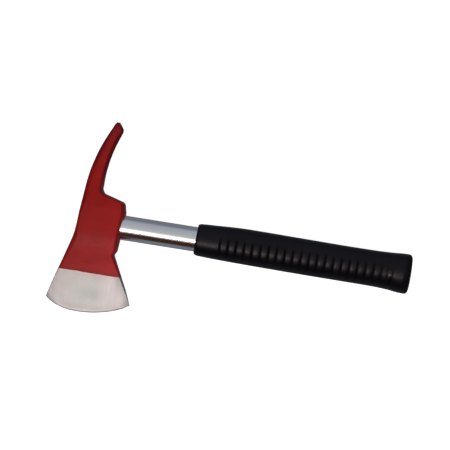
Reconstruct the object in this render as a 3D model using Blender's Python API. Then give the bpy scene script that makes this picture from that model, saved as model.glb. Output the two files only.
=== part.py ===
"""Fireman's hand axe: a forged head, a chromed steel tube through its eye, and a rubber grip.

Metres, +Z up. The axe lies flat on a cheek of its head, with the handle along +X, the pick
toward +Y and the blade toward -Y. The origin is under the middle of the whole axe.
"""

import math

import bmesh
import bpy
import numpy as np
from mathutils import Vector

MM = 0.001

# Lengths are in millimetres. In the design frame X runs along the handle from the back of the
# eye, Y from the handle's axis toward the pick, and Z from the middle plane of the head.

# Handle tube: one inch outside, driven through the eye and spread in the eye's bell.
TUBE_RADIUS = 12.7
TUBE_WALL = 2.0
TUBE_START = 2.4
TUBE_END = 334.4
BELL_DEPTH = 12.0
BELL_GROWTH = 1.2
FIT_GAP = 0.3
EYE_CUT = (-8.0, 60.0)

# Head: outlines are corners (x, y, corner radius), from the blade's corners to the pick's tip.
HEEL = (-21.1, -81.0)
TOE = (63.7, -78.6)
EDGE_PULL_HEEL = (0.7, -101.4)
EDGE_PULL_TOE = (53.0, -88.1)
EDGE_LEVEL = -91.7
BEVEL_LEVEL = -89.1
BLADE_ROOT = -20.0
BACK_OUTLINE = [
    (*HEEL, 0.0),
    (-20.7, -77.4, 8.0),
    (-2.45, -13.5, 60.0),
    (3.65, 64.6, 162.0),
    (21.7, 104.0, 1.0),
    (23.6, 105.8, 0.0),
]
FRONT_OUTLINE = [
    (*TOE, 0.0),
    (65.0, -77.4, 1.7),
    (58.1, -62.0, 60.0),
    (41.3, -29.4, 1.0),
    (43.7, -24.9, 2.0),
    (46.6, 14.5, 8.0),
    (44.1, 25.5, 4.6),
    (19.2, 32.5, 6.5),
    (20.1, 65.5, 150.0),
    (31.8, 98.0, 6.0),
    (25.8, 105.8, 0.0),
]
FRONT_CHEEK = [
    (63.2, -78.3, 0.0),
    (64.3, -77.1, 1.5),
    (56.6, -62.0, 130.0),
    (38.9, -29.0, 6.0),
    (40.6, -23.5, 3.0),
    (42.6, 15.5, 7.0),
    (41.4, 23.6, 3.0),
    (16.3, 30.8, 11.0),
    (14.1, 66.0, 152.0),
    (26.1, 96.4, 4.0),
    (25.1, 103.3, 0.0),
]
RUNGS_PER_STRETCH = [1, 4, 5, 1, 5, 1, 5, 2, 1, 2]
RUNGS_PER_CORNER = [3, 2, 2, 2, 3, 4, 5, 8, 3]
BACK_STRETCHES = [1, 1, 1, 1, 1]
BACK_CORNERS = [3, 8, 16, 2]
HALF_THICKNESS = [
    (EDGE_LEVEL, 0.10),
    (EDGE_LEVEL + 0.35, 0.30),
    (BEVEL_LEVEL, 0.92),
    (-72.0, 4.4),
    (-49.0, 9.3),
    (-38.0, 12.2),
    (-28.0, 14.9),
    (-20.0, 16.7),
    (-12.0, 17.8),
    (-6.0, 18.0),
    (16.0, 18.0),
    (28.0, 16.6),
    (42.0, 13.2),
    (58.0, 10.0),
    (80.0, 7.0),
    (98.0, 4.8),
    (105.8, 2.8),
]
BACK_ROUNDING = [
    (EDGE_LEVEL, 0.2),
    (-72.0, 0.7),
    (-57.0, 1.4),
    (-49.0, 3.8),
    (-16.0, 6.7),
    (-6.0, 4.6),
    (6.0, 4.1),
    (16.0, 5.6),
    (30.0, 7.2),
    (60.0, 8.0),
    (80.0, 6.8),
    (95.0, 4.8),
    (105.8, 1.4),
]
WALL_STEPS = 5
CHEEK_STEPS = 12
SLOPE_REACH = 0.5

# Grip: station, reach toward the pick, reach toward the blade, half thickness.
GRIP_START = 121.0
GRIP_END = 342.2
GRIP_FORM = [
    (GRIP_START, 16.3, 16.3, 15.2),
    (138.0, 17.2, 17.1, 15.4),
    (172.0, 18.6, 17.9, 15.6),
    (240.0, 18.0, 18.7, 15.8),
    (280.0, 17.7, 18.9, 15.85),
    (304.0, 17.8, 19.1, 15.9),
    (320.0, 18.3, 19.9, 16.6),
    (336.0, 19.3, 21.5, 17.6),
    (GRIP_END, 19.3, 21.5, 17.6),
]
GRIP_LIP_LENGTH = 4.5
GRIP_LIP_HEIGHT = 1.9
GRIP_SLANT = 0.45
LIP_STEPS = 4
BUTT_CORNER = 3.8
BUTT_CROWN = 13.0
BUTT_CROWN_LENGTH = 10.0
BUTT_STEPS = 7
GROOVE_COUNT = 21
GROOVE_FIRST = 145.9
GROOVE_PITCH = 8.25
GROOVE_HALF_WIDTH = 1.1
GROOVE_DEPTH = 0.85
GROOVE_FADE_PICK = (0.50, 0.12)
GROOVE_FADE_BLADE = (0.84, 0.52)
BEAD_GROOVES = (317.1, 322.6)
BEAD_GROOVE_DEPTH = 0.5

# Plugs that close the two ends of the tube.
EYE_PLUG_DEPTH = 0.4
EYE_PLUG_LENGTH = 13.0
EYE_PLUG_CHAMFER = 1.0
BUTT_PLUG_LENGTH = 14.0
BUTT_PLUG_TAPER = (1.5, 0.8)
BUTT_FLANGE = 1.6
BUTT_PLAY = 0.9

ROUND_SEGMENTS = 40
GRIP_SEGMENTS = 28
SHARP_ANGLE = 32.0


def clear_scene():
    for obj in list(bpy.data.objects):
        bpy.data.objects.remove(obj, do_unlink=True)


def material(name, colour, roughness, metallic):
    made = bpy.data.materials.new(name)
    made.use_nodes = True
    shader = made.node_tree.nodes["Principled BSDF"]
    shader.inputs["Base Color"].default_value = (*colour, 1.0)
    shader.inputs["Roughness"].default_value = roughness
    shader.inputs["Metallic"].default_value = metallic
    return made


def add_object(name, mesh_data, surface, datum):
    """A smooth-shaded object from a bmesh, hung on the datum."""
    bmesh.ops.recalc_face_normals(mesh_data, faces=mesh_data.faces[:])
    mesh = bpy.data.meshes.new(name)
    mesh_data.to_mesh(mesh)
    mesh_data.free()
    mesh.shade_smooth()
    mesh.set_sharp_from_angle(angle=math.radians(SHARP_ANGLE))
    obj = bpy.data.objects.new(name, mesh)
    bpy.context.scene.collection.objects.link(obj)
    obj.parent = datum
    if surface:
        mesh.materials.append(surface)
    return obj


def lofted(rings, closed=False):
    """A bmesh skin over rings of points in millimetres, with flat ends unless it closes on itself."""
    mesh_data = bmesh.new()
    loops = [[mesh_data.verts.new(point * MM) for point in ring] for ring in rings]
    pairs = list(zip(loops, loops[1:]))
    if closed:
        pairs.append((loops[-1], loops[0]))
    for first, second in pairs:
        for i in range(len(first)):
            j = (i + 1) % len(first)
            mesh_data.faces.new((first[i], first[j], second[j], second[i]))
    if not closed:
        mesh_data.faces.new(loops[0])
        mesh_data.faces.new(loops[-1])
    return mesh_data


def circle(x, radius, segments=ROUND_SEGMENTS):
    turns = [2 * math.pi * i / segments for i in range(segments)]
    return [Vector((x, radius * math.cos(a), radius * math.sin(a))) for a in turns]


# --- Head -----------------------------------------------------------------------------------


def corner_arc(before, corner, after, radius, steps):
    """The arc that rounds a corner, as steps + 1 points."""
    into = (corner - before).normalized()
    out = (after - corner).normalized()
    turn = into.angle(out)
    reach = radius * math.tan(turn / 2)
    side = math.copysign(1.0, into.x * out.y - into.y * out.x)
    start = corner - into * reach
    centre = start + Vector((-into.y, into.x)) * radius * side
    spoke = start - centre
    points = []
    for i in range(steps + 1):
        a = side * turn * i / steps
        x = spoke.x * math.cos(a) - spoke.y * math.sin(a)
        y = spoke.x * math.sin(a) + spoke.y * math.cos(a)
        points.append(centre + Vector((x, y)))
    return points


def rounded_path(corners, stretch_steps, corner_steps):
    """Points along rounded corners, the same number for every path with these step counts."""
    spots = [Vector(corner[:2]) for corner in corners]
    pieces = [[spots[0]]]
    for i, steps in enumerate(corner_steps):
        radius = corners[i + 1][2]
        pieces.append(corner_arc(spots[i], spots[i + 1], spots[i + 2], radius, steps))
    pieces.append([spots[-1]])
    path = []
    for i, steps in enumerate(stretch_steps):
        path += pieces[i]
        start, end = pieces[i][-1], pieces[i + 1][0]
        path += [start.lerp(end, j / steps) for j in range(1, steps)]
    return path + pieces[-1]


def at_height(path, y):
    """The point of a rising path at this Y, and the direction from it into the head."""
    heights = [point.y for point in path]
    places = [point.x for point in path]
    x = float(np.interp(y, heights, places))
    above, below = np.interp([y + SLOPE_REACH, y - SLOPE_REACH], heights, places)
    slope = float(above - below) / (2 * SLOPE_REACH)
    return Vector((x, y)), Vector((1.0, -slope)).normalized()


def smooth_table(table):
    """A function through (place, value) rows that never overshoots: monotone cubic pieces."""
    xs = np.array([row[0] for row in table])
    ys = np.array([row[1] for row in table])
    step = np.diff(xs)
    slope = np.diff(ys) / step
    tangent = np.concatenate([[slope[0]], np.zeros(len(slope) - 1), [slope[-1]]])
    for i in range(1, len(slope)):
        if slope[i - 1] * slope[i] > 0:
            tangent[i] = 2 * slope[i - 1] * slope[i] / (slope[i - 1] + slope[i])

    def value(x):
        i = int(np.clip(np.searchsorted(xs, x) - 1, 0, len(step) - 1))
        t = float(np.clip((x - xs[i]) / step[i], 0, 1))
        rise = step[i] * (tangent[i] * (t - 2 * t * t + t**3) + tangent[i + 1] * (t**3 - t * t))
        return float(ys[i] + (ys[i + 1] - ys[i]) * (3 * t * t - 2 * t**3) + rise)

    return value


half_thickness = smooth_table(HALF_THICKNESS)
back_rounding = smooth_table(BACK_ROUNDING)


def edge_bow(across):
    """How far the cutting edge departs from the straight line between the blade's corners."""
    heel, toe = Vector(HEEL), Vector(TOE)
    pull_heel, pull_toe = Vector(EDGE_PULL_HEEL), Vector(EDGE_PULL_TOE)
    s, r = across, 1 - across
    point = heel * r**3 + pull_heel * 3 * r * r * s + pull_toe * 3 * r * s * s + toe * s**3
    return point - heel.lerp(toe, s)


def wall(outer, cheek, half):
    """Points up the side of the head, from its widest line to the cheek, in a rounded profile."""
    reach = (outer - cheek).length
    points = []
    for k in range(1, WALL_STEPS + 1):
        tilt = math.pi / 2 * (1 - k / WALL_STEPS)
        a = math.atan2(half * math.cos(tilt), reach * math.sin(tilt))
        points.append(Vector((*cheek.lerp(outer, math.cos(a)), half * math.sin(a))))
    return points


def head_ring(back, front, back_cheek, front_cheek, back_half, front_half, bow):
    """One closed section: up the back, across the cheek, down the front, and below the same."""
    back_wall = wall(back, back_cheek, back_half)
    front_wall = wall(front, front_cheek, front_half)
    cheek = []
    for j in range(1, CHEEK_STEPS):
        s = (1 - math.cos(math.pi * j / CHEEK_STEPS)) / 2
        spot = back_cheek.lerp(front_cheek, s) + edge_bow(s) * bow
        half = back_half + (front_half - back_half) * s
        if bow == 0:
            half = half_thickness(spot.y)
        cheek.append(Vector((*spot, half)))
    top = back_wall + cheek + front_wall[::-1]
    below = [Vector((p.x, p.y, -p.z)) for p in reversed(top)]
    return [Vector((*back, 0.0))] + top + [Vector((*front, 0.0))] + below


def head_rings():
    """Sections of the head from the cutting edge to the pick's tip."""
    fronts = rounded_path(FRONT_OUTLINE, RUNGS_PER_STRETCH, RUNGS_PER_CORNER)
    cheeks = rounded_path(FRONT_CHEEK, RUNGS_PER_STRETCH, RUNGS_PER_CORNER)
    backs = rounded_path(BACK_OUTLINE, BACK_STRETCHES, BACK_CORNERS)
    rings = []
    for front, front_cheek in zip(fronts, cheeks):
        rise = min(1.0, (front.y - TOE[1]) / (BLADE_ROOT - TOE[1]))
        if rise < 1.0:
            y = HEEL[1] + rise * (BLADE_ROOT - HEEL[1])
            level = EDGE_LEVEL + rise * (BLADE_ROOT - EDGE_LEVEL)
            cheek_rise = (front_cheek.y - cheeks[0].y) / (BLADE_ROOT - cheeks[0].y)
            cheek_level = EDGE_LEVEL + cheek_rise * (BLADE_ROOT - EDGE_LEVEL)
            halves = (half_thickness(level), half_thickness(cheek_level))
            bow = (1 - rise) ** 2
        else:
            y = level = front.y
            halves = (half_thickness(y), half_thickness(front_cheek.y))
            bow = 0.0
        back, inward = at_height(backs, y)
        back_cheek = back + inward * back_rounding(level)
        rings.append(head_ring(back, front, back_cheek, front_cheek, *halves, bow))
    return rings


def laddered_end(mesh_data, loop):
    """Closes an end whose section is the same above and below the middle plane."""
    count = len(loop)
    for i in range(count // 2):
        corners = (loop[i], loop[i + 1], loop[count - i - 1], loop[(count - i) % count])
        mesh_data.faces.new(tuple(dict.fromkeys(corners)))


def make_head(datum):
    paint = material("head_paint", (0.33, 0.014, 0.015), 0.38, 0.0)
    rings = head_rings()
    mesh_data = lofted(rings, closed=True)
    mesh_data.verts.ensure_lookup_table()
    count = len(rings[0])
    loops = [mesh_data.verts[:count], mesh_data.verts[-count:]]
    between_ends = [face for face in mesh_data.faces if spans(face, loops)]
    bmesh.ops.delete(mesh_data, geom=between_ends, context="FACES_ONLY")
    for loop in loops:
        laddered_end(mesh_data, loop)
    head = add_object("axe_head", mesh_data, paint, datum)
    cut(head, make_eye_cutter(datum))
    return head


def spans(face, loops):
    return all(any(vert in loop for vert in face.verts) for loop in loops)


def make_eye_cutter(datum):
    """The eye: a round hole along the handle, with a bell at the back that the tube spreads into."""
    bore = TUBE_RADIUS + FIT_GAP
    bell = bore + BELL_GROWTH
    start, end = EYE_CUT
    rings = [circle(start, bell), circle(0.0, bell), circle(BELL_DEPTH, bore), circle(end, bore)]
    cutter = add_object("eye_cutter", lofted(rings), None, datum)
    cutter.hide_render = True
    cutter.display_type = "WIRE"
    return cutter


def cut(obj, cutter):
    boolean = obj.modifiers.new("eye", "BOOLEAN")
    boolean.operation = "DIFFERENCE"
    boolean.solver = "EXACT"
    boolean.object = cutter


# --- Handle ---------------------------------------------------------------------------------


def tube_spread(x):
    """How much the tube's radius has grown at this distance from the back of the eye."""
    return BELL_GROWTH * max(0.0, 1 - x / BELL_DEPTH)


def make_tube(datum):
    chrome = material("handle_chrome", (0.72, 0.73, 0.75), 0.16, 1.0)
    inner = TUBE_RADIUS - TUBE_WALL
    stations = [TUBE_START, BELL_DEPTH, TUBE_END]
    outside = [circle(x, TUBE_RADIUS + tube_spread(x)) for x in stations]
    inside = [circle(x, inner + tube_spread(x)) for x in reversed(stations)]
    return add_object("handle_tube", lofted(outside + inside, closed=True), chrome, datum)


def make_eye_plug(datum):
    """A tapered steel plug, driven into the mouth of the tube to spread it in the bell."""
    steel = material("plug_steel", (0.42, 0.42, 0.43), 0.42, 1.0)
    fit = TUBE_RADIUS - TUBE_WALL - FIT_GAP
    start = TUBE_START + EYE_PLUG_DEPTH
    end = start + EYE_PLUG_LENGTH
    rings = [
        circle(start, fit + tube_spread(start) - EYE_PLUG_CHAMFER),
        circle(start + EYE_PLUG_CHAMFER, fit + tube_spread(start + EYE_PLUG_CHAMFER)),
        circle(BELL_DEPTH, fit),
        circle(end - EYE_PLUG_CHAMFER, fit),
        circle(end, fit - EYE_PLUG_CHAMFER),
    ]
    return add_object("eye_plug", lofted(rings), steel, datum)


def make_butt_plug(datum):
    """A moulded plug whose flange covers the cut end of the tube inside the grip."""
    plastic = material("plug_plastic", (0.03, 0.03, 0.032), 0.5, 0.0)
    fit = TUBE_RADIUS - TUBE_WALL - FIT_GAP
    seat = TUBE_END + FIT_GAP
    start = seat - BUTT_PLUG_LENGTH
    taper_length, taper_fall = BUTT_PLUG_TAPER
    rings = [
        circle(start, fit - taper_fall),
        circle(start + taper_length, fit),
        circle(seat, fit),
        circle(seat, TUBE_RADIUS),
        circle(seat + BUTT_FLANGE, TUBE_RADIUS),
    ]
    return add_object("butt_plug", lofted(rings), plastic, datum)


# --- Grip -----------------------------------------------------------------------------------


reach_to_pick = smooth_table([(row[0], row[1]) for row in GRIP_FORM])
reach_to_blade = smooth_table([(row[0], row[2]) for row in GRIP_FORM])
grip_half = smooth_table([(row[0], row[3]) for row in GRIP_FORM])


def grip_ring(x, inset=0.0, inset_face=0.0, groove=0.0):
    """An oval section, smaller by the insets, with a groove that fades out toward the two sides."""
    to_pick, to_blade = reach_to_pick(x) - inset, reach_to_blade(x) - inset
    half = grip_half(x) - inset_face
    ring = []
    for i in range(GRIP_SEGMENTS):
        a = 2 * math.pi * i / GRIP_SEGMENTS
        start, end = GROOVE_FADE_PICK if math.cos(a) > 0 else GROOVE_FADE_BLADE
        share = min(1.0, max(0.0, (start - abs(math.cos(a))) / (start - end)))
        scale = 1 - groove * share / half
        reach = to_pick if math.cos(a) > 0 else to_blade
        ring.append(Vector((x, reach * math.cos(a) * scale, half * math.sin(a) * scale)))
    return ring


def rounding(x, start, end):
    """How far an elliptic corner has fallen at this station, as a share of its depth."""
    share = min(1.0, max(0.0, (x - start) / (end - start)))
    return 1 - math.sqrt(1 - share * share)


def slanted(ring, share):
    """The ring, moved along the handle in proportion to Y: the sleeve's mouth is cut a little askew."""
    return [Vector((p.x + GRIP_SLANT * share * p.y / reach_to_pick(GRIP_START), p.y, p.z)) for p in ring]


def make_grip(datum):
    """A rubber sleeve with a closed butt, narrow grooves across both broad faces and a bead."""
    rubber = material("grip_rubber", (0.012, 0.012, 0.014), 0.55, 0.0)
    bore = TUBE_RADIUS + FIT_GAP
    bore_end = TUBE_END + BUTT_FLANGE + BUTT_PLAY
    mouth = slanted(circle(GRIP_START, bore, GRIP_SEGMENTS), 1.0)
    rings = [circle(bore_end, bore, GRIP_SEGMENTS), mouth]
    for i in range(LIP_STEPS + 1):
        a = math.pi / 2 * i / LIP_STEPS
        x = GRIP_START + GRIP_LIP_LENGTH * (1 - math.cos(a))
        fall = GRIP_LIP_HEIGHT * (1 - math.sin(a))
        rings.append(slanted(grip_ring(x, fall, fall), 1 - i / LIP_STEPS))
    grooves = [(GROOVE_FIRST + GROOVE_PITCH * i, GROOVE_DEPTH) for i in range(GROOVE_COUNT)]
    grooves += [(middle, BEAD_GROOVE_DEPTH) for middle in BEAD_GROOVES]
    for middle, depth in grooves:
        rings.append(grip_ring(middle - GROOVE_HALF_WIDTH))
        rings.append(grip_ring(middle, groove=depth))
        rings.append(grip_ring(middle + GROOVE_HALF_WIDTH))
    for i in range(BUTT_STEPS + 1):
        x = GRIP_END - BUTT_CROWN_LENGTH * (1 - math.sin(math.pi / 2 * i / BUTT_STEPS))
        sides = BUTT_CORNER * rounding(x, GRIP_END - BUTT_CORNER, GRIP_END)
        faces = BUTT_CROWN * rounding(x, GRIP_END - BUTT_CROWN_LENGTH, GRIP_END)
        rings.append(grip_ring(x, sides, faces))
    return add_object("grip", lofted(rings), rubber, datum)


# --- Assembly -------------------------------------------------------------------------------


def stand_on_origin(datum, objects):
    """Moves the datum so that the axe lies on Z = 0 with the origin under its middle."""
    corners = np.array([vert.co for obj in objects for vert in obj.data.vertices])
    low, high = corners.min(axis=0), corners.max(axis=0)
    datum.location = (-(low[0] + high[0]) / 2, -(low[1] + high[1]) / 2, -low[2])


def main():
    clear_scene()
    datum = bpy.data.objects.new("handle_datum", None)
    bpy.context.scene.collection.objects.link(datum)
    pieces = [
        make_head(datum),
        make_tube(datum),
        make_eye_plug(datum),
        make_grip(datum),
        make_butt_plug(datum),
    ]
    stand_on_origin(datum, pieces)


main()
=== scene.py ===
"""The looks of a fireman's hand axe: painted forging, chromed tube and grooved rubber grip."""

import math

import bmesh
import bpy
import numpy as np
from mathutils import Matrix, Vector

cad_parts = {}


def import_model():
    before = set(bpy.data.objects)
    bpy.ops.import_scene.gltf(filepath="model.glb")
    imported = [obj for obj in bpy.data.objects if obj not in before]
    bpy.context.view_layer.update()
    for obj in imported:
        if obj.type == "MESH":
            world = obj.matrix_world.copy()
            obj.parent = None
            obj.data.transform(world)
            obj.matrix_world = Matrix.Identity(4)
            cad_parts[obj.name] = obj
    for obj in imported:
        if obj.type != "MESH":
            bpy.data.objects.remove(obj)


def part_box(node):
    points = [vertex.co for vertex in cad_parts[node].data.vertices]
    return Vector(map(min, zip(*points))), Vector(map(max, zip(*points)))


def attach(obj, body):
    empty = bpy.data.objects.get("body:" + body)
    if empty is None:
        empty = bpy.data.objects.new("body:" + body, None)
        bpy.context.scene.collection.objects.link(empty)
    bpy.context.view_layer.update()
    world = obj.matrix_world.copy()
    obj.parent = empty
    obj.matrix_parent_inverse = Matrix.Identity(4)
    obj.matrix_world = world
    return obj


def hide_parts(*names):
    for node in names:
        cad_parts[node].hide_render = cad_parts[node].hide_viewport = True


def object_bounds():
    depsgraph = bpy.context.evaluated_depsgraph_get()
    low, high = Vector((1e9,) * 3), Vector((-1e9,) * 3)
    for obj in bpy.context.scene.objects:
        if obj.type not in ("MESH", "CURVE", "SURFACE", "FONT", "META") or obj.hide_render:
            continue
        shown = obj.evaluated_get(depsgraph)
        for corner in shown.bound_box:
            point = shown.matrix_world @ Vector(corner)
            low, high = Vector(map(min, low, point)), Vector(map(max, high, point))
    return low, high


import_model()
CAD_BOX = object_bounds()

MM = 0.001
ROOT = "root"

# Lengths below are in millimetres, in the design frame: X along the handle from the back of the
# eye, Y from the handle's axis toward the pick, Z from the middle plane of the head.
GRIP_END = 342.2
TUBE_LOW, TUBE_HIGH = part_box("handle_tube")
GRIP_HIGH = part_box("grip")[1]
ORIGIN = Vector((
    GRIP_HIGH.x - GRIP_END * MM,
    (TUBE_LOW.y + TUBE_HIGH.y) / 2,
    (TUBE_LOW.z + TUBE_HIGH.z) / 2,
))


def world(point):
    """A design point in the row frame, in metres."""
    return ORIGIN + Vector(point) * MM


# --- Camera: it looks straight down on the axe ---------------------------------------------------

CAMERA_DISTANCE = 1020.0
CAMERA_AIM = (147.95, 19.17, 0.0)
CAMERA_TURN = 9.06
CAMERA_LENS = 80.0
SENSOR_WIDTH = 36.0


def make_camera():
    data = bpy.data.cameras.new("camera")
    data.lens = CAMERA_LENS
    data.sensor_width = SENSOR_WIDTH
    camera = bpy.data.objects.new("camera", data)
    camera.location = world(CAMERA_AIM) + Vector((0, 0, CAMERA_DISTANCE * MM))
    camera.rotation_euler = (0, 0, math.radians(CAMERA_TURN))
    bpy.context.scene.collection.objects.link(camera)
    bpy.context.scene.camera = camera


# --- Meshes --------------------------------------------------------------------------------------

ROUND_SEGMENTS = 96
SHARP_ANGLE = 30.0
HEAD_SHARP_ANGLE = 24.0
GRIP_SHARP_ANGLE = 50.0


def add_piece(name, mesh_data, surface, slot, *stands_for, sharp_angle=SHARP_ANGLE):
    """A smooth-shaded piece of the axe from a bmesh in metres, standing for CAD nodes."""
    bmesh.ops.recalc_face_normals(mesh_data, faces=mesh_data.faces[:])
    mesh = bpy.data.meshes.new(name)
    mesh_data.to_mesh(mesh)
    mesh_data.free()
    mesh.shade_smooth()
    mesh.set_sharp_from_angle(angle=math.radians(sharp_angle))
    mesh.materials.append(surface)
    piece = bpy.data.objects.new(name, mesh)
    bpy.context.scene.collection.objects.link(piece)
    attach(piece, ROOT)
    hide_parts(*stands_for)
    return piece


def skin(rings, closed=False):
    """A bmesh skin over rings of design points, open at both ends, and its loops of vertices."""
    mesh_data = bmesh.new()
    loops = [[mesh_data.verts.new(world(point)) for point in ring] for ring in rings]
    pairs = list(zip(loops, loops[1:]))
    if closed:
        pairs.append((loops[-1], loops[0]))
    for first, second in pairs:
        for i in range(len(first)):
            j = (i + 1) % len(first)
            mesh_data.faces.new((first[i], first[j], second[j], second[i]))
    return mesh_data, loops


def lofted(rings, closed=False):
    """A skin over rings of design points, with flat ends unless it closes on itself."""
    mesh_data, loops = skin(rings, closed)
    if not closed:
        mesh_data.faces.new(loops[0])
        mesh_data.faces.new(loops[-1])
    return mesh_data


def circle(x, radius, segments=ROUND_SEGMENTS):
    turns = [2 * math.pi * i / segments for i in range(segments)]
    return [Vector((x, radius * math.cos(a), radius * math.sin(a))) for a in turns]


def turned(profile, closed=False):
    """A round piece about the handle's axis, from (x, radius) stations."""
    return lofted([circle(x, radius) for x, radius in profile], closed)


def rounded_end(x, radius, corner, inward, steps=6):
    """Stations round a turned corner: from the face at x to the full radius, `inward` along X."""
    stations = []
    for i in range(steps + 1):
        a = math.pi / 2 * i / steps
        stations.append((x + inward * corner * (1 - math.sin(a)), radius - corner * (1 - math.cos(a))))
    return stations


def smooth_table(table):
    """A function through (place, value) rows that never overshoots: monotone cubic pieces."""
    xs = np.array([row[0] for row in table])
    ys = np.array([row[1] for row in table])
    step = np.diff(xs)
    slope = np.diff(ys) / step
    tangent = np.concatenate([[slope[0]], np.zeros(len(slope) - 1), [slope[-1]]])
    for i in range(1, len(slope)):
        if slope[i - 1] * slope[i] > 0:
            tangent[i] = 2 * slope[i - 1] * slope[i] / (slope[i - 1] + slope[i])

    def value(x):
        i = int(np.clip(np.searchsorted(xs, x) - 1, 0, len(step) - 1))
        t = float(np.clip((x - xs[i]) / step[i], 0, 1))
        rise = step[i] * (tangent[i] * (t - 2 * t * t + t**3) + tangent[i + 1] * (t**3 - t * t))
        return float(ys[i] + (ys[i + 1] - ys[i]) * (3 * t * t - 2 * t**3) + rise)

    return value


# --- Head ----------------------------------------------------------------------------------------

# The cutting edge bows between the heel and the toe, drawn out by two pull points. Levels are Y: of
# the edge, of the top of its bevel, and of the blade's root, above which sections lie square.
HEEL = (-21.1, -81.0)
TOE = (63.7, -78.6)
EDGE_PULL_HEEL = (0.7, -101.38)
EDGE_PULL_TOE = (53.0, -88.08)
EDGE_LEVEL = -91.7
BEVEL_LEVEL = -89.1
BLADE_ROOT = -20.0

# Outlines are corners (x, y, corner radius), from the blade's corners to the pick's tip. The cheek is
# the flat or gently sloped part between the rounded walls.
BACK_OUTLINE = [
    (*HEEL, 0.0),
    (-20.7, -77.4, 8.0),
    (-2.45, -13.5, 60.0),
    (3.65, 64.6, 162.0),
    (21.7, 104.0, 1.0),
    (23.6, 105.8, 0.0),
]
FRONT_OUTLINE = [
    (*TOE, 0.0),
    (65.0, -77.4, 1.7),
    (58.1, -62.0, 60.0),
    (41.3, -29.4, 1.0),
    (43.7, -24.9, 2.0),
    (46.6, 14.5, 8.0),
    (44.1, 25.5, 4.6),
    (19.2, 32.5, 6.5),
    (20.1, 65.5, 150.0),
    (31.8, 98.0, 6.0),
    (25.8, 105.8, 0.0),
]
FRONT_CHEEK = [
    (63.2, -78.3, 0.0),
    (64.3, -77.1, 1.5),
    (56.6, -62.0, 130.0),
    (38.9, -29.0, 6.0),
    (40.6, -23.5, 3.0),
    (42.6, 15.5, 7.0),
    (41.4, 23.6, 3.0),
    (16.3, 30.8, 11.0),
    (14.1, 66.0, 152.0),
    (26.1, 96.4, 4.0),
    (25.1, 103.3, 0.0),
]

# Steps along each straight and round each corner. The front and its cheek share theirs.
RUNGS_PER_STRETCH = [3, 24, 20, 3, 22, 4, 20, 9, 6, 6]
RUNGS_PER_CORNER = [8, 6, 6, 6, 8, 8, 12, 20, 8]
BACK_STRETCHES = [1, 1, 1, 1, 1]
BACK_CORNERS = [8, 30, 60, 4]
WALL_STEPS = 12
CHEEK_STEPS = 28
SLOPE_REACH = 0.5

# Rows are a level and the cheek's height over the middle plane there.
half_thickness = smooth_table([
    (EDGE_LEVEL, 0.10),
    (EDGE_LEVEL + 0.35, 0.30),
    (BEVEL_LEVEL, 0.92),
    (-72.0, 4.4),
    (-49.0, 9.3),
    (-38.0, 12.2),
    (-28.0, 14.9),
    (-20.0, 16.7),
    (-12.0, 17.8),
    (-6.0, 18.0),
    (16.0, 18.0),
    (28.0, 16.6),
    (42.0, 13.2),
    (58.0, 10.0),
    (80.0, 7.0),
    (98.0, 4.8),
    (105.8, 2.8),
])

# Rows are a level and the distance from the back outline in to the cheek.
back_rounding = smooth_table([
    (EDGE_LEVEL, 0.2),
    (-72.0, 0.7),
    (-57.0, 1.4),
    (-49.0, 3.8),
    (-16.0, 6.7),
    (-6.0, 4.6),
    (6.0, 4.1),
    (16.0, 5.6),
    (30.0, 7.2),
    (60.0, 8.0),
    (80.0, 6.8),
    (95.0, 4.8),
    (105.8, 1.4),
])


def corner_arc(before, corner, after, radius, steps):
    """The arc that rounds a corner, as steps + 1 points."""
    into = (corner - before).normalized()
    out = (after - corner).normalized()
    turn = into.angle(out)
    reach = radius * math.tan(turn / 2)
    side = math.copysign(1.0, into.x * out.y - into.y * out.x)
    start = corner - into * reach
    centre = start + Vector((-into.y, into.x)) * radius * side
    spoke = start - centre
    points = []
    for i in range(steps + 1):
        a = side * turn * i / steps
        x = spoke.x * math.cos(a) - spoke.y * math.sin(a)
        y = spoke.x * math.sin(a) + spoke.y * math.cos(a)
        points.append(centre + Vector((x, y)))
    return points


def rounded_path(corners, stretch_steps, corner_steps):
    """Points along rounded corners, the same number for every path with these step counts."""
    spots = [Vector(corner[:2]) for corner in corners]
    pieces = [[spots[0]]]
    for i, steps in enumerate(corner_steps):
        radius = corners[i + 1][2]
        pieces.append(corner_arc(spots[i], spots[i + 1], spots[i + 2], radius, steps))
    pieces.append([spots[-1]])
    path = []
    for i, steps in enumerate(stretch_steps):
        path += pieces[i]
        start, end = pieces[i][-1], pieces[i + 1][0]
        path += [start.lerp(end, j / steps) for j in range(1, steps)]
    return path + pieces[-1]


def at_height(path, y):
    """The point of a rising path at this Y, and the direction from it into the head."""
    heights = [point.y for point in path]
    places = [point.x for point in path]
    x = float(np.interp(y, heights, places))
    above, below = np.interp([y + SLOPE_REACH, y - SLOPE_REACH], heights, places)
    slope = float(above - below) / (2 * SLOPE_REACH)
    return Vector((x, y)), Vector((1.0, -slope)).normalized()


def edge_bow(across):
    """How far the cutting edge departs from the straight line between the blade's corners."""
    heel, toe = Vector(HEEL), Vector(TOE)
    pull_heel, pull_toe = Vector(EDGE_PULL_HEEL), Vector(EDGE_PULL_TOE)
    s, r = across, 1 - across
    point = heel * r**3 + pull_heel * 3 * r * r * s + pull_toe * 3 * r * s * s + toe * s**3
    return point - heel.lerp(toe, s)


def wall(outer, cheek, half):
    """Points up the side of the head, from its widest line to the cheek, in a rounded profile."""
    reach = (outer - cheek).length
    points = []
    for k in range(1, WALL_STEPS + 1):
        tilt = math.pi / 2 * (1 - k / WALL_STEPS)
        a = math.atan2(half * math.cos(tilt), reach * math.sin(tilt))
        points.append(Vector((*cheek.lerp(outer, math.cos(a)), half * math.sin(a))))
    return points


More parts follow.
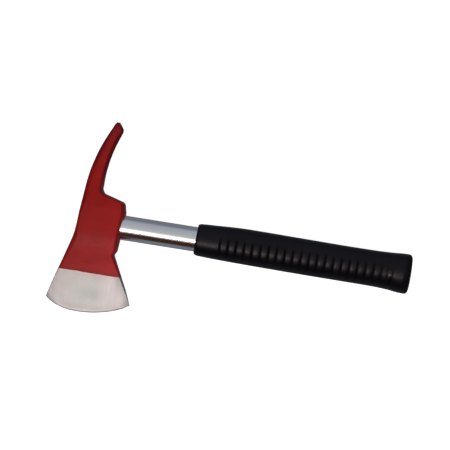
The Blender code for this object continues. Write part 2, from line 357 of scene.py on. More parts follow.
def head_ring(back, front, back_cheek, front_cheek, back_half, front_half, bow):
    """One closed section: up the back, across the cheek, down the front, and below the same."""
    cheek = []
    for j in range(1, CHEEK_STEPS):
        s = (1 - math.cos(math.pi * j / CHEEK_STEPS)) / 2
        spot = back_cheek.lerp(front_cheek, s) + edge_bow(s) * bow
        half = back_half + (front_half - back_half) * s
        if bow == 0:
            half = half_thickness(spot.y)
        cheek.append(Vector((*spot, half)))
    top = wall(back, back_cheek, back_half) + cheek + wall(front, front_cheek, front_half)[::-1]
    below = [Vector((p.x, p.y, -p.z)) for p in reversed(top)]
    return [Vector((*back, 0.0))] + top + [Vector((*front, 0.0))] + below


def head_rings():
    """Sections of the head from the cutting edge to the pick's tip."""
    fronts = rounded_path(FRONT_OUTLINE, RUNGS_PER_STRETCH, RUNGS_PER_CORNER)
    cheeks = rounded_path(FRONT_CHEEK, RUNGS_PER_STRETCH, RUNGS_PER_CORNER)
    backs = rounded_path(BACK_OUTLINE, BACK_STRETCHES, BACK_CORNERS)
    rings = []
    for front, front_cheek in zip(fronts, cheeks):
        rise = min(1.0, (front.y - TOE[1]) / (BLADE_ROOT - TOE[1]))
        if rise < 1.0:
            y = HEEL[1] + rise * (BLADE_ROOT - HEEL[1])
            level = EDGE_LEVEL + rise * (BLADE_ROOT - EDGE_LEVEL)
            cheek_rise = (front_cheek.y - cheeks[0].y) / (BLADE_ROOT - cheeks[0].y)
            cheek_level = EDGE_LEVEL + cheek_rise * (BLADE_ROOT - EDGE_LEVEL)
            halves = (half_thickness(level), half_thickness(cheek_level))
            bow = (1 - rise) ** 2
        else:
            y = level = front.y
            halves = (half_thickness(y), half_thickness(front_cheek.y))
            bow = 0.0
        back, inward = at_height(backs, y)
        back_cheek = back + inward * back_rounding(level)
        rings.append(head_ring(back, front, back_cheek, front_cheek, *halves, bow))
    return rings


def laddered_end(mesh_data, loop):
    """Closes an end whose section is the same above and below the middle plane."""
    count = len(loop)
    for i in range(count // 2):
        corners = (loop[i], loop[i + 1], loop[count - i - 1], loop[(count - i) % count])
        mesh_data.faces.new(tuple(dict.fromkeys(corners)))


def make_head(surface):
    mesh_data, loops = skin(head_rings())
    laddered_end(mesh_data, loops[0])
    laddered_end(mesh_data, loops[-1])
    head = add_piece("axe_forging", mesh_data, surface, "head_paint", "axe_head",
                     sharp_angle=HEAD_SHARP_ANGLE)
    bore_eye(head)


# --- Eye, tube and plugs -------------------------------------------------------------------------

TUBE_RADIUS = 12.7
TUBE_WALL = 2.0
TUBE_START = 2.4
TUBE_END = 334.4
TUBE_MOUTH_CORNER = 0.5
TUBE_CUT_CORNER = 0.4
TUBE_RUN = (30.0, 330.4)
TUBE_RUN_STATIONS = 24
BELL_DEPTH = 12.0
BELL_GROWTH = 1.2
FIT_GAP = 0.3
EYE_CUT = (-8.0, 60.0)
EYE_CHAMFER = 0.6
EYE_CHAMFER_RUN = (-1.6, 0.2)
EYE_PLUG_DEPTH = 0.4
EYE_PLUG_LENGTH = 13.0
EYE_PLUG_CHAMFER = 1.0
EYE_PLUG_FACE = [(2.0, 0.15), (1.4, 1.2), (0.0, 2.2), (0.0, 5.0)]
BUTT_PLUG_LENGTH = 14.0
BUTT_PLUG_TAPER = (1.5, 0.8)
BUTT_FLANGE = 1.6
BUTT_FLANGE_CORNER = 0.5
BUTT_PLAY = 0.9


def eye_cutter():
    """The eye's hole as an object: round, with a bell and a small chamfer at the back."""
    bore = TUBE_RADIUS + FIT_GAP
    bell = bore + BELL_GROWTH
    start, end = EYE_CUT
    chamfer_start, chamfer_end = EYE_CHAMFER_RUN
    mesh_data = turned([
        (start, bell + EYE_CHAMFER),
        (chamfer_start, bell + EYE_CHAMFER),
        (chamfer_end, bell),
        (BELL_DEPTH, bore),
        (end, bore),
    ])
    bmesh.ops.recalc_face_normals(mesh_data, faces=mesh_data.faces[:])
    mesh = bpy.data.meshes.new("eye_cutter")
    mesh_data.to_mesh(mesh)
    mesh_data.free()
    cutter = bpy.data.objects.new("eye_cutter", mesh)
    bpy.context.scene.collection.objects.link(cutter)
    return cutter


def bore_eye(head):
    """Cuts the eye out of the head and keeps the cut mesh."""
    cutter = eye_cutter()
    boolean = head.modifiers.new("eye", "BOOLEAN")
    boolean.operation = "DIFFERENCE"
    boolean.solver = "EXACT"
    boolean.object = cutter
    bpy.context.view_layer.update()
    evaluated = head.evaluated_get(bpy.context.evaluated_depsgraph_get())
    cut_mesh = bpy.data.meshes.new_from_object(evaluated)
    head.modifiers.clear()
    head.data = cut_mesh
    head.data.name = head.name
    head.data.set_sharp_from_angle(angle=math.radians(HEAD_SHARP_ANGLE))
    bpy.data.objects.remove(cutter, do_unlink=True)


def tube_spread(x):
    """How much the tube's radius has grown at this distance from the back of the eye."""
    return BELL_GROWTH * max(0.0, 1 - x / BELL_DEPTH)


def make_tube(surface):
    inner = TUBE_RADIUS - TUBE_WALL
    mouth = TUBE_RADIUS + tube_spread(TUBE_START)
    outside = rounded_end(TUBE_START, mouth, TUBE_MOUTH_CORNER, 1)
    outside += [(BELL_DEPTH, TUBE_RADIUS)]
    outside += [(x, TUBE_RADIUS) for x in np.linspace(*TUBE_RUN, TUBE_RUN_STATIONS)]
    outside += rounded_end(TUBE_END, TUBE_RADIUS, TUBE_CUT_CORNER, -1)[::-1]
    inside = [(TUBE_END, inner), (BELL_DEPTH, inner), (TUBE_START, inner + tube_spread(TUBE_START))]
    add_piece("chromed_tube", turned(outside + inside, True), surface, "handle_chrome", "handle_tube")


def make_eye_plug(surface):
    """The tapered steel plug that spreads the tube, with a turned centre mark in its face."""
    fit = TUBE_RADIUS - TUBE_WALL - FIT_GAP
    start = TUBE_START + EYE_PLUG_DEPTH
    end = start + EYE_PLUG_LENGTH
    chamfer = EYE_PLUG_CHAMFER
    profile = [(start + depth, radius) for depth, radius in EYE_PLUG_FACE]
    profile += rounded_end(start, fit + tube_spread(start + chamfer), chamfer, 1)
    profile += [(BELL_DEPTH, fit), (end - chamfer, fit), (end, fit - chamfer)]
    add_piece("expander_plug", turned(profile), surface, "plug_steel", "eye_plug")


def make_butt_plug(surface):
    """The moulded plug whose flange covers the cut end of the tube inside the grip."""
    fit = TUBE_RADIUS - TUBE_WALL - FIT_GAP
    seat = TUBE_END + FIT_GAP
    start = seat - BUTT_PLUG_LENGTH
    taper_length, taper_fall = BUTT_PLUG_TAPER
    profile = [(start, fit - taper_fall), (start + taper_length, fit), (seat, fit), (seat, TUBE_RADIUS)]
    profile += rounded_end(seat + BUTT_FLANGE, TUBE_RADIUS, BUTT_FLANGE_CORNER, -1)[::-1]
    add_piece("tube_end_plug", turned(profile), surface, "plug_plastic", "butt_plug")


# --- Grip ----------------------------------------------------------------------------------------

GRIP_START = 121.0
GRIP_LIP_LENGTH = 4.5
GRIP_LIP_HEIGHT = 1.9
GRIP_SLANT = 0.45
BUTT_CORNER = 3.8
BUTT_CROWN = 13.0
BUTT_CROWN_LENGTH = 10.0
GROOVE_COUNT = 21
GROOVE_FIRST = 145.9
GROOVE_PITCH = 8.25
GROOVE_HALF_WIDTH = 0.95
GROOVE_DEPTH = 0.85
GROOVE_STEEPNESS = 1.8
GROOVE_FADE_PICK = (0.50, 0.12)
GROOVE_FADE_BLADE = (0.86, 0.5)
RIB_CROWN = 0.4
RIB_FULLNESS = 0.8
BEAD_GROOVES = (317.1, 322.6)
BEAD_GROOVE_DEPTH = 0.5
LIP_STEPS = 10
GRIP_SEGMENTS = 120
GRIP_STEP = 0.55
BUTT_STEPS = 20

# Rows are a place along the handle and the oval's reach toward the pick, the blade and the cheeks.
reach_to_pick = smooth_table([
    (GRIP_START, 16.3), (138.0, 17.2), (172.0, 18.6), (240.0, 18.0), (280.0, 17.7),
    (304.0, 17.8), (320.0, 18.3), (336.0, 19.3), (GRIP_END, 19.3),
])
reach_to_blade = smooth_table([
    (GRIP_START, 16.3), (138.0, 17.1), (172.0, 17.9), (240.0, 18.7), (280.0, 18.9),
    (304.0, 19.1), (320.0, 19.9), (336.0, 21.5), (GRIP_END, 21.5),
])
grip_half = smooth_table([
    (GRIP_START, 15.2), (138.0, 15.4), (172.0, 15.6), (240.0, 15.8), (280.0, 15.85),
    (304.0, 15.9), (320.0, 16.6), (336.0, 17.6), (GRIP_END, 17.6),
])


def groove_share(off):
    """How deep a groove still is at this distance from its middle, as a share of its depth."""
    return math.exp(-((off / GROOVE_HALF_WIDTH) ** 2) * GROOVE_STEEPNESS)


def groove_profile(x):
    """Depth below the grip's plain surface at this station: grooves, with crowned ribs between."""
    place = (x - GROOVE_FIRST) / GROOVE_PITCH
    nearest = min(max(round(place), 0), GROOVE_COUNT - 1)
    depth = GROOVE_DEPTH * groove_share(x - GROOVE_FIRST - nearest * GROOVE_PITCH)
    if 0 <= place <= GROOVE_COUNT - 1:
        share = place - math.floor(place)
        depth -= RIB_CROWN * math.sin(math.pi * share) ** RIB_FULLNESS
    for middle in BEAD_GROOVES:
        depth += BEAD_GROOVE_DEPTH * groove_share(x - middle)
    return depth


def grip_ring(x, inset=0.0, inset_face=0.0):
    """An oval section, smaller by the insets, whose groove fades out toward the two sides."""
    to_pick, to_blade = reach_to_pick(x) - inset, reach_to_blade(x) - inset
    half = grip_half(x) - inset_face
    groove = groove_profile(x)
    ring = []
    for i in range(GRIP_SEGMENTS):
        a = 2 * math.pi * i / GRIP_SEGMENTS
        start, end = GROOVE_FADE_PICK if math.cos(a) > 0 else GROOVE_FADE_BLADE
        share = min(1.0, max(0.0, (start - abs(math.cos(a))) / (start - end)))
        share = share * share * (3 - 2 * share)
        scale = 1 - groove * share / half
        reach = to_pick if math.cos(a) > 0 else to_blade
        ring.append(Vector((x, reach * math.cos(a) * scale, half * math.sin(a) * scale)))
    return ring


def rounding(x, start, end):
    """How far an elliptic corner has fallen at this station, as a share of its depth."""
    share = min(1.0, max(0.0, (x - start) / (end - start)))
    return 1 - math.sqrt(1 - share * share)


def slanted(ring, share):
    """The ring, moved along the handle in proportion to Y: the sleeve's mouth is a little askew."""
    slope = GRIP_SLANT * share / reach_to_pick(GRIP_START)
    return [Vector((p.x + slope * p.y, p.y, p.z)) for p in ring]


def make_grip(surface):
    bore = TUBE_RADIUS + FIT_GAP
    bore_end = TUBE_END + BUTT_FLANGE + BUTT_PLAY
    mouth = slanted(circle(GRIP_START, bore, GRIP_SEGMENTS), 1.0)
    rings = [circle(bore_end, bore, GRIP_SEGMENTS), mouth]
    for i in range(LIP_STEPS + 1):
        a = math.pi / 2 * i / LIP_STEPS
        x = GRIP_START + GRIP_LIP_LENGTH * (1 - math.cos(a))
        fall = GRIP_LIP_HEIGHT * (1 - math.sin(a))
        rings.append(slanted(grip_ring(x, fall, fall), 1 - i / LIP_STEPS))
    first = GRIP_START + GRIP_LIP_LENGTH + GRIP_STEP
    last = GRIP_END - BUTT_CROWN_LENGTH
    count = round((last - first) / GRIP_STEP)
    rings += [grip_ring(first + (last - first) * i / count) for i in range(count)]
    for i in range(BUTT_STEPS + 1):
        x = GRIP_END - BUTT_CROWN_LENGTH * (1 - math.sin(math.pi / 2 * i / BUTT_STEPS))
        sides = BUTT_CORNER * rounding(x, GRIP_END - BUTT_CORNER, GRIP_END)
        faces = BUTT_CROWN * rounding(x, last, GRIP_END)
        rings.append(grip_ring(x, sides, faces))
    add_piece("rubber_grip", lofted(rings), surface, "grip_rubber", "grip",
              sharp_angle=GRIP_SHARP_ANGLE)


# --- Materials -----------------------------------------------------------------------------------


class Nodes:
    """Short ways to build the node tree of a material or a world."""

    def __init__(self, owner, shader="Principled BSDF", coordinates="Object"):
        owner.use_nodes = True
        self.owner = owner
        self.tree = owner.node_tree
        self.shader = self.tree.nodes[shader]
        self.place = self.add("ShaderNodeTexCoord").outputs[coordinates]

    def add(self, kind, **settings):
        node = self.tree.nodes.new(kind)
        for key, value in settings.items():
            setattr(node, key, value)
        return node

    def feed(self, socket, value):
        """Links a socket, or sets a number, vector or colour."""
        if isinstance(value, bpy.types.NodeSocket):
            self.tree.links.new(value, socket)
        elif isinstance(value, (tuple, list)) and len(value) == 3 and socket.type == "RGBA":
            socket.default_value = (*value, 1.0)
        else:
            socket.default_value = value

    def set(self, **inputs):
        for name, value in inputs.items():
            self.feed(self.shader.inputs[name.replace("_", " ")], value)

    def maths(self, operation, first, second=0.0, clamp=False):
        node = self.add("ShaderNodeMath", operation=operation, use_clamp=clamp)
        self.feed(node.inputs[0], first)
        self.feed(node.inputs[1], second)
        return node.outputs[0]

    def product(self, first, second):
        return self.maths("MULTIPLY", first, second)

    def vector_maths(self, operation, first, second):
        node = self.add("ShaderNodeVectorMath", operation=operation)
        self.feed(node.inputs[0], first)
        self.feed(node.inputs["Scale" if operation == "SCALE" else 1], second)
        return node.outputs[0]

    def stretched(self, scale):
        return self.vector_maths("MULTIPLY", self.place, scale)

    def noise(self, scale, detail=3.0, roughness=0.5, vector=None):
        node = self.add("ShaderNodeTexNoise")
        self.feed(node.inputs["Vector"], vector or self.place)
        node.inputs["Scale"].default_value = scale
        node.inputs["Detail"].default_value = detail
        node.inputs["Roughness"].default_value = roughness
        return node.outputs["Fac"]

    def ramp(self, value, low, high, out_low=0.0, out_high=1.0, smooth=False):
        node = self.add("ShaderNodeMapRange")
        node.interpolation_type = "SMOOTHSTEP" if smooth else "LINEAR"
        for socket, number in zip(node.inputs[:5], (value, low, high, out_low, out_high)):
            self.feed(socket, number)
        return node.outputs[0]

    def span(self, value, zero, start, end, *outputs, smooth=True):
        """A ramp over a length in metres, between two distances from `zero` in millimetres."""
        return self.ramp(value, zero + start * MM, zero + end * MM, *outputs, smooth=smooth)

    def over(self, axis, start, end, *outputs, smooth=True):
        """A ramp between two places along an axis of the design frame."""
        return self.span(self.axis(axis), zero_of(axis), start, end, *outputs, smooth=smooth)

    def off(self, axis, place=0.0):
        """The distance in metres from a place along an axis of the design frame."""
        return self.maths("ABSOLUTE", self.maths("SUBTRACT", self.axis(axis), zero_of(axis) + place * MM))

    def mix(self, share, first, second):
        node = self.add("ShaderNodeMix", data_type="RGBA")
        self.feed(node.inputs["Factor"], share)
        self.feed(node.inputs[6], first)
        self.feed(node.inputs[7], second)
        return node.outputs[2]

    def mix_numbers(self, share, first, second):
        node = self.add("ShaderNodeMix", data_type="FLOAT")
        for socket, number in zip((node.inputs[0], node.inputs[2], node.inputs[3]), (share, first, second)):
            self.feed(socket, number)
        return node.outputs[0]

    def axis(self, name):
        node = self.add("ShaderNodeSeparateXYZ")
        self.feed(node.inputs[0], self.place)
        return node.outputs[name]

    def bump(self, height, distance, strength=1.0, under=None):
        node = self.add("ShaderNodeBump")
        node.inputs["Strength"].default_value = strength
        node.inputs["Distance"].default_value = distance
        self.feed(node.inputs["Height"], height)
        if under:
            self.feed(node.inputs["Normal"], under)
        return node.outputs["Normal"]


def zero_of(axis):
    """Where an axis of the design frame has its zero in the row frame, in metres."""
    return getattr(ORIGIN, axis.lower())


def material_nodes(name):
    return Nodes(bpy.data.materials.new(name))


PAINT_LINE = -50.35
DULL_SPOT = (25.0, -72.0, 0.0)
DULL_SQUEEZE = (1.0, 2.5, 0.0)
# Painted shade: how strongly the pick's side walls are painted dark.
WALL_DARKNESS = 0.65
# Painted light: how strongly the blade's side walls are painted pale and made less metallic.
WALL_PALENESS = 0.9

RED = ((0.360, 0.0062, 0.0057), (0.400, 0.0090, 0.0080))
# Painted light: a lighter red for the lower cheek, whose slope faces the light.
LIT_CHEEK_RED = ((0.43, 0.015, 0.017), (0.47, 0.020, 0.023))
# Painted light: a lighter red that lifts the pick's slopes, which face away from the light.
LIT_PICK_RED = ((0.40, 0.0105, 0.0085), (0.45, 0.013, 0.011))
TIP_RED = (0.21, 0.009, 0.013)
SCUFFED_RED = (0.26, 0.010, 0.012)
# Painted shade: a darker red for a band just above the paint line, where the thick paint's rim shades.
RIM_SHADE_RED = (0.22, 0.028, 0.034)
# Painted shade: the dark red painted on the pick's side walls.
SHADED_WALL_RED = (0.11, 0.006, 0.010)

STEEL = ((0.351, 0.337, 0.332), (0.398, 0.370, 0.366))
DULL_STEEL = (0.286, 0.288, 0.284)
# Painted light: a lighter steel for the side toward the handle, where light falls.
LIT_SIDE_STEEL = (0.438, 0.404, 0.404)
GRIND_STEEL = (0.332, 0.323, 0.319)
OVERSPRAYED_STEEL = (0.56, 0.36, 0.34)
# Painted light: the pale colour painted on the blade's side walls.
LIT_WALL_STEEL = (0.80, 0.77, 0.79)
# Painted shade: a darker steel toward the blade's front edge.
SHADED_FRONT_STEEL = (0.281, 0.265, 0.266)
# The honed bevel: lighter partly as fresh-honed steel and partly as a painted highlight.
HONED_AND_LIT_STEEL = (0.52, 0.505, 0.50)
# Painted shade: a dark steel for the line along the very cutting edge.
SHADED_EDGE_STEEL = (0.22, 0.215, 0.22)
# Painted light: a lighter, lilac-tinted steel toward the heel.
LIT_HEEL_STEEL = (0.56, 0.52, 0.54)


def along(n, direction, start, end, most):
    """A share that grows from 0 to `most` between two places along a direction in the XY plane."""
    x, y = direction
    place = n.maths("ADD", n.product(n.axis("X"), x), n.product(n.axis("Y"), y))
    zero = x * ORIGIN.x + y * ORIGIN.y
    return n.span(place, zero, start, end, 0.0, most)


def on_wall(n, from_middle, low, high):
    """How surely a point is on the head's side walls, from two (y, half thickness) stations."""
    half = n.over("Y", low[0], high[0], low[1] * MM, high[1] * MM, smooth=False)
    return n.ramp(n.maths("DIVIDE", from_middle, half), 0.95, 0.72, smooth=True)


def on_pick_wall(n, from_middle):
    """The pick's walls, which begin nearer the eye at the front than at the back."""
    wall = on_wall(n, from_middle, (42.0, 13.2), (98.0, 4.8))
    front = n.over("X", 9.0, 13.0, smooth=False)
    along_front = n.product(front, n.over("Y", 42.0, 54.0, smooth=False))
    along_back = n.over("Y", 54.0, 66.0, smooth=False)
    return n.product(wall, n.maths("MAXIMUM", along_front, along_back))


def on_blade_wall(n, from_middle):
    """The blade's walls, without its corners."""
    wall = on_wall(n, from_middle, (-78.8, 0.9), (-50.0, 7.8))
    return n.product(wall, n.over("Y", -79.0, -76.0, smooth=False))


def red_enamel(n, height, line):
    """Mottled red with scuffs low on the cheek, dark at the pick's tip. Painted light makes it lighter
    below the eye, on the pick and toward the handle, and darker near the back edge; painted shade
    darkens it along the paint's rim.
    """
    mottle = n.ramp(n.noise(38.0, 4.0, 0.6), 0.35, 0.65)
    # Painted light: the cheek below the eye is painted lighter, where its slope faces the light.
    red = n.mix(n.over("Y", -8.0, -26.0), n.mix(mottle, *RED), n.mix(mottle, *LIT_CHEEK_RED))
    # Painted light: the pick is painted lighter to lift its shaded slopes.
    red = n.mix(n.over("Y", 24.0, 44.0, 0.0, 0.8), red, n.mix(mottle, *LIT_PICK_RED))
    red = n.mix(n.over("Y", 62.0, 104.0, 0.0, 0.6), red, TIP_RED)
    scuffs = n.ramp(n.noise(150.0, 3.0, 0.6, n.stretched((0.22, 1.0, 1.0))), 0.52, 0.66)
    red = n.mix(n.product(scuffs, n.over("Y", -22.0, -36.0, 0.0, 0.35)), red, SCUFFED_RED)
    # Painted shade: a darker band just above the paint line, for the thick paint's rim.
    red = n.mix(n.product(n.span(height, line, 3.2, 1.0), 0.7), red, RIM_SHADE_RED)
    # Painted light: the red is darker near the back edge and lighter toward the handle, as light falls across
    # the head.
    across = n.product(n.over("X", 3.0, 13.0, 0.90, 1.0), n.over("X", 22.0, 42.0, 1.0, 1.14))
    return n.vector_maths("SCALE", red, across)


def dull_share(n):
    """A dull oval patch in the middle of the blade."""
    squeezed = n.vector_maths("MULTIPLY", n.vector_maths("SUBTRACT", n.place, world(DULL_SPOT)), DULL_SQUEEZE)
    length = n.add("ShaderNodeVectorMath", operation="LENGTH")
    n.feed(length.inputs[0], squeezed)
    return n.span(length.outputs["Value"], 0.0, 26.0, 4.0, 0.0, 0.95)


def ground_steel(n, height, line, from_middle, grind, blade_wall_light):
    """Bare steel: clouded, with a dull patch, grinding marks, paint dust at the line and a honed bevel.
    Painted light lightens it toward the handle, on the walls, on the bevel and at the heel; painted
    shade darkens it toward the front edge and along the cutting edge.
    """
    steel = n.mix(n.ramp(n.noise(22.0, 2.0, 0.5), 0.35, 0.65), *STEEL)
    steel = n.mix(dull_share(n), steel, DULL_STEEL)
    # Painted light: the bare steel is painted lighter toward the handle.
    steel = n.mix(n.over("X", 26.0, 44.0, 0.0, 0.7), steel, LIT_SIDE_STEEL)
    steel = n.mix(n.ramp(grind, 0.3, 0.75, 0.0, 0.25), steel, GRIND_STEEL)
    steel = n.mix(n.product(n.span(height, line, -3.4, -0.6), 0.6), steel, OVERSPRAYED_STEEL)
    # Painted light: the blade's side walls are painted pale.
    steel = n.mix(blade_wall_light, steel, LIT_WALL_STEEL)
    # Painted shade: the bare steel darkens toward the blade's front edge, on the handle's side.
    steel = n.mix(along(n, (1.0, 0.48), 16.0, 26.0, 0.62), steel, SHADED_FRONT_STEEL)
    # The honed bevel, painted lighter: partly the honed steel, partly a painted highlight.
    steel = n.mix(n.span(from_middle, 0.0, 1.05, 0.85, 0.0, 0.55), steel, HONED_AND_LIT_STEEL)
    # Painted shade: a dark line along the very cutting edge.
    steel = n.mix(n.span(from_middle, 0.0, 0.55, 0.25, 0.0, 0.85), steel, SHADED_EDGE_STEEL)
    # Painted light: the steel is painted lighter toward the heel.
    return n.mix(along(n, (-0.6, -0.8), 67.0, 75.0, 0.6), steel, LIT_HEEL_STEEL)


def head_relief(n, line, from_middle, scratches):
    """The forging's parting line and uneven skin, the enamel's peel and the blade's scratches."""
    flash = n.span(from_middle, 0.0, 1.1, 0.4)
    flash = n.product(flash, n.span(n.axis("Y"), line, 0.0, 3.0, smooth=False))
    relief = n.bump(flash, 0.00025, 0.6)
    relief = n.bump(n.noise(70.0, 3.0, 0.55), 0.0006, 0.35, relief)
    relief = n.bump(n.noise(900.0, 2.0), 0.00006, 0.5, relief)
    return n.bump(scratches, 0.00005, 0.5, relief)


def head_surface():
    """Red enamel over forged steel, with the blade ground bare below the paint line."""
    n = material_nodes("painted_forging")
    line = ORIGIN.y + PAINT_LINE * MM
    wander = n.ramp(n.noise(90.0, 2.0), 0.3, 0.7, -0.0004, 0.0004)
    height = n.maths("ADD", n.axis("Y"), wander)
    bare = n.span(height, line, 0.3, -0.3, smooth=False)
    from_middle = n.off("Z")
    grind = n.noise(60.0, 4.0, 0.65, n.stretched((14.0, 0.5, 1.0)))
    # Painted shade: the pick's side walls are painted dark.
    pick_wall_shade = n.product(on_pick_wall(n, from_middle), WALL_DARKNESS)
    # Painted light: the blade's side walls are painted pale and, below, made less metallic, so they stay
    # light.
    blade_wall_light = n.product(on_blade_wall(n, from_middle), WALL_PALENESS)
    painted = n.mix(pick_wall_shade, red_enamel(n, height, line), SHADED_WALL_RED)
    steel = ground_steel(n, height, line, from_middle, grind, blade_wall_light)
    n.set(Base_Color=n.mix(bare, painted, steel))
    n.set(Metallic=n.maths("SUBTRACT", bare, blade_wall_light, clamp=True))
    paint_rough = n.ramp(n.noise(260.0, 3.0), 0.3, 0.7, 0.40, 0.50)
    steel_rough = n.ramp(grind, 0.25, 0.75, 0.36, 0.46)
    n.set(Roughness=n.mix_numbers(bare, paint_rough, steel_rough))
    n.shader.inputs["Specular IOR Level"].default_value = 0.16
    n.set(Normal=head_relief(n, line, from_middle, n.product(grind, bare)))
    return n.owner


def chrome_surface():
    """Bright chromed tube with faint lengthwise polishing streaks and hazy patches."""
    n = material_nodes("chromed_steel")
    streak = n.noise(40.0, 4.0, 0.6, n.stretched((0.25, 9.0, 9.0)))
    haze = n.noise(30.0, 3.0, 0.55, n.stretched((0.5, 1.0, 1.0)))
    tint = n.mix(n.ramp(haze, 0.3, 0.7), (0.90, 0.91, 0.92), (0.96, 0.96, 0.95))
    n.set(Base_Color=tint, Metallic=1.0)
    rough = n.maths("ADD", n.ramp(streak, 0.3, 0.7, 0.10, 0.16), n.ramp(haze, 0.4, 0.8, 0.0, 0.04))
    n.set(Roughness=rough)
    n.set(Normal=n.bump(streak, 0.00004, 0.35))
    return n.owner


def plug_surface():
    """Turned steel, dulled by a thin brown film."""
    n = material_nodes("turned_steel")
    rings = n.noise(1400.0, 2.0)
    film = n.ramp(n.noise(160.0, 4.0, 0.6), 0.4, 0.7)
    n.set(Base_Color=n.mix(film, (0.45, 0.45, 0.46), (0.28, 0.24, 0.20)), Metallic=1.0)
    n.set(Roughness=n.ramp(rings, 0.3, 0.7, 0.30, 0.48))
    n.set(Normal=n.bump(rings, 0.00003, 0.4))
    return n.owner


WORN_BEAD = 319.8


def rubber_surface():
    """Black moulded rubber with a fine grain and duller patches, worn smooth on the butt's bead."""
    n = material_nodes("moulded_rubber")
    grain = n.noise(1500.0, 3.0, 0.6)
    bloom = n.ramp(n.noise(45.0, 4.0, 0.6), 0.35, 0.7)
    n.set(Base_Color=n.mix(bloom, (0.0034, 0.0027, 0.0046), (0.0048, 0.0040, 0.0062)))
    rough = n.maths("ADD", n.ramp(grain, 0.3, 0.7, 0.26, 0.35), n.ramp(bloom, 0, 1, 0, 0.05))
    worn = n.span(n.off("X", WORN_BEAD), 0.0, 2.2, 0.8, 0.0, 0.21)
    n.set(Roughness=n.maths("SUBTRACT", rough, worn))
    n.shader.inputs["Specular IOR Level"].default_value = 0.245
    n.shader.inputs["Specular Tint"].default_value = (1.0, 0.88, 0.97, 1.0)
    parting = n.bump(n.span(n.off("Z"), 0.0, 0.6, 0.2), 0.0002, 0.6)
    n.set(Normal=n.bump(grain, 0.00005, 0.4, parting))
    return n.owner


def plastic_surface():
    n = material_nodes("moulded_plastic")
    grain = n.noise(900.0, 2.0)
    n.set(Base_Color=n.mix(grain, (0.02, 0.02, 0.021), (0.03, 0.03, 0.032)))
    n.set(Roughness=n.ramp(grain, 0.3, 0.7, 0.45, 0.6), Normal=n.bump(grain, 0.00004, 0.3))
    return n.owner


def floor_surface():
    n = material_nodes("pale_floor")
    n.set(Base_Color=(0.9, 0.9, 0.9), Roughness=0.9)
    n.set(Emission_Color=(1.0, 1.0, 1.0), Emission_Strength=0.86)
    n.shader.inputs["Specular IOR Level"].default_value = 0.0
    return n.owner


# --- Studio --------------------------------------------------------------------------------------

FLOOR_SIZE = 8.0
FLOOR_CELLS = 8
FLOOR_DROP = 0.0002
BACKDROP = (0.99, 0.99, 0.99)
ROOM_BELOW = (0.165, 0.175, 0.205)

# Rows are a share of the way from the blade's side to the pick's side, and the room's colour there.
ROOM = [
    (0.0, (0.045, 0.022, 0.014)),
    (0.16, (0.030, 0.014, 0.010)),
    (0.30, (0.30, 0.28, 0.26)),
    (0.52, (0.49, 0.49, 0.48)),
    (0.70, (0.40, 0.43, 0.44)),
    (0.97, (0.33, 0.36, 0.42)),
    (1.0, (0.22, 0.24, 0.31)),
]

# Rows are a name, tilts, distance, reach, radiance and colour, as make_softbox takes them.
SOFTBOXES = [
    ("key", (2, 29.8), 1.5, (-0.75, 0.5), 0.75, (1.0, 0.97, 0.93)),
    ("window", (18.5, 29.8), 1.5, (-0.62, 0.41), 7.5, (1.0, 0.95, 0.93)),
    ("fringe", (29.8, 46), 1.5, (-0.42, 0.42), 0.75, (1.0, 0.78, 0.70)),
    ("wash", (12, 42), 1.8, (-0.35, 0.65), 1.75, (1.0, 1.0, 1.0)),
]
UNSEEN_IN_GLOSS = ("wash",)


def make_floor():
    mesh_data = bmesh.new()
    bmesh.ops.create_grid(mesh_data, x_segments=FLOOR_CELLS, y_segments=FLOOR_CELLS, size=FLOOR_SIZE / 2)
    mesh = bpy.data.meshes.new("floor")
    mesh_data.to_mesh(mesh)
    mesh_data.free()
    mesh.materials.append(floor_surface())
    floor = bpy.data.objects.new("floor", mesh)
    floor.location.z = CAD_BOX[0].z - FLOOR_DROP
    bpy.context.scene.collection.objects.link(floor)
    floor.visible_glossy = False
    floor.visible_diffuse = False


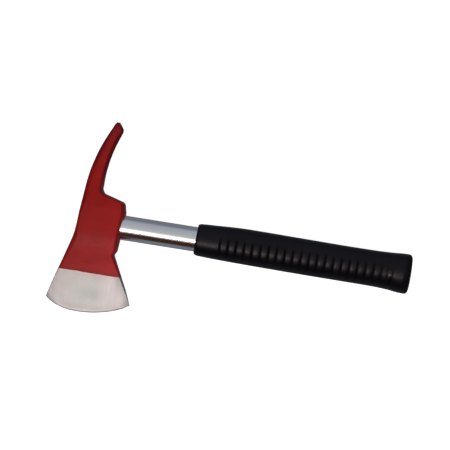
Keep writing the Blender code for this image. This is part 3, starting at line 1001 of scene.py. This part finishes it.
def make_softbox(name, tilts, distance, reach, radiance, colour):
    """An area light over the axe. From the handle it spans these two tilts, in degrees from straight
    overhead toward the blade's side, and these two places along the handle, in metres."""
    half_angle = math.radians(tilts[1] - tilts[0]) / 2
    width = reach[1] - reach[0]
    depth = 2 * distance * math.tan(half_angle)
    data = bpy.data.lights.new(name, "AREA")
    data.shape = "RECTANGLE"
    data.size = width
    data.size_y = depth
    data.energy = radiance * math.pi * width * depth
    data.color = colour
    light = bpy.data.objects.new(name, data)
    a = math.radians(tilts[0] + tilts[1]) / 2
    middle = (reach[0] + reach[1]) / 2
    light.location = ORIGIN + Vector((middle, -distance * math.sin(a), distance * math.cos(a)))
    light.rotation_euler = (-a, 0, 0)
    light.visible_camera = False
    light.visible_glossy = name not in UNSEEN_IN_GLOSS
    bpy.context.scene.collection.objects.link(light)


def room_colours(n):
    """The room's colour from the blade's side round to the pick's side."""
    node = n.add("ShaderNodeValToRGB")
    n.feed(node.inputs["Fac"], n.ramp(n.axis("Y"), -1.0, 1.0))
    ramp = node.color_ramp
    while len(ramp.elements) < len(ROOM):
        ramp.elements.new(0.5)
    for element, (place, colour) in zip(ramp.elements, ROOM):
        element.position = place
        element.color = (*colour, 1.0)
    return node.outputs["Color"]


def make_world():
    """A grey room, dark low down on the blade's side and dim beyond both ends of the handle. The
    camera sees a pale backdrop instead."""
    studio = bpy.data.worlds.new("studio")
    bpy.context.scene.world = studio
    n = Nodes(studio, "Background", "Generated")
    room = n.mix(n.ramp(n.axis("Z"), -0.05, 0.12), ROOM_BELOW, room_colours(n))
    dim = n.ramp(n.maths("ABSOLUTE", n.axis("X")), 0.25, 0.85, 1.0, 0.3)
    camera_ray = n.add("ShaderNodeLightPath").outputs["Is Camera Ray"]
    n.set(Color=n.mix(camera_ray, n.vector_maths("SCALE", room, dim), BACKDROP))


def make_studio():
    make_world()
    make_floor()
    for softbox in SOFTBOXES:
        make_softbox(*softbox)
    bpy.context.scene.view_settings.view_transform = "Standard"


# --- Assembly ------------------------------------------------------------------------------------


def main():
    make_camera()
    make_head(head_surface())
    make_tube(chrome_surface())
    make_eye_plug(plug_surface())
    make_butt_plug(plastic_surface())
    make_grip(rubber_surface())
    make_studio()


main()
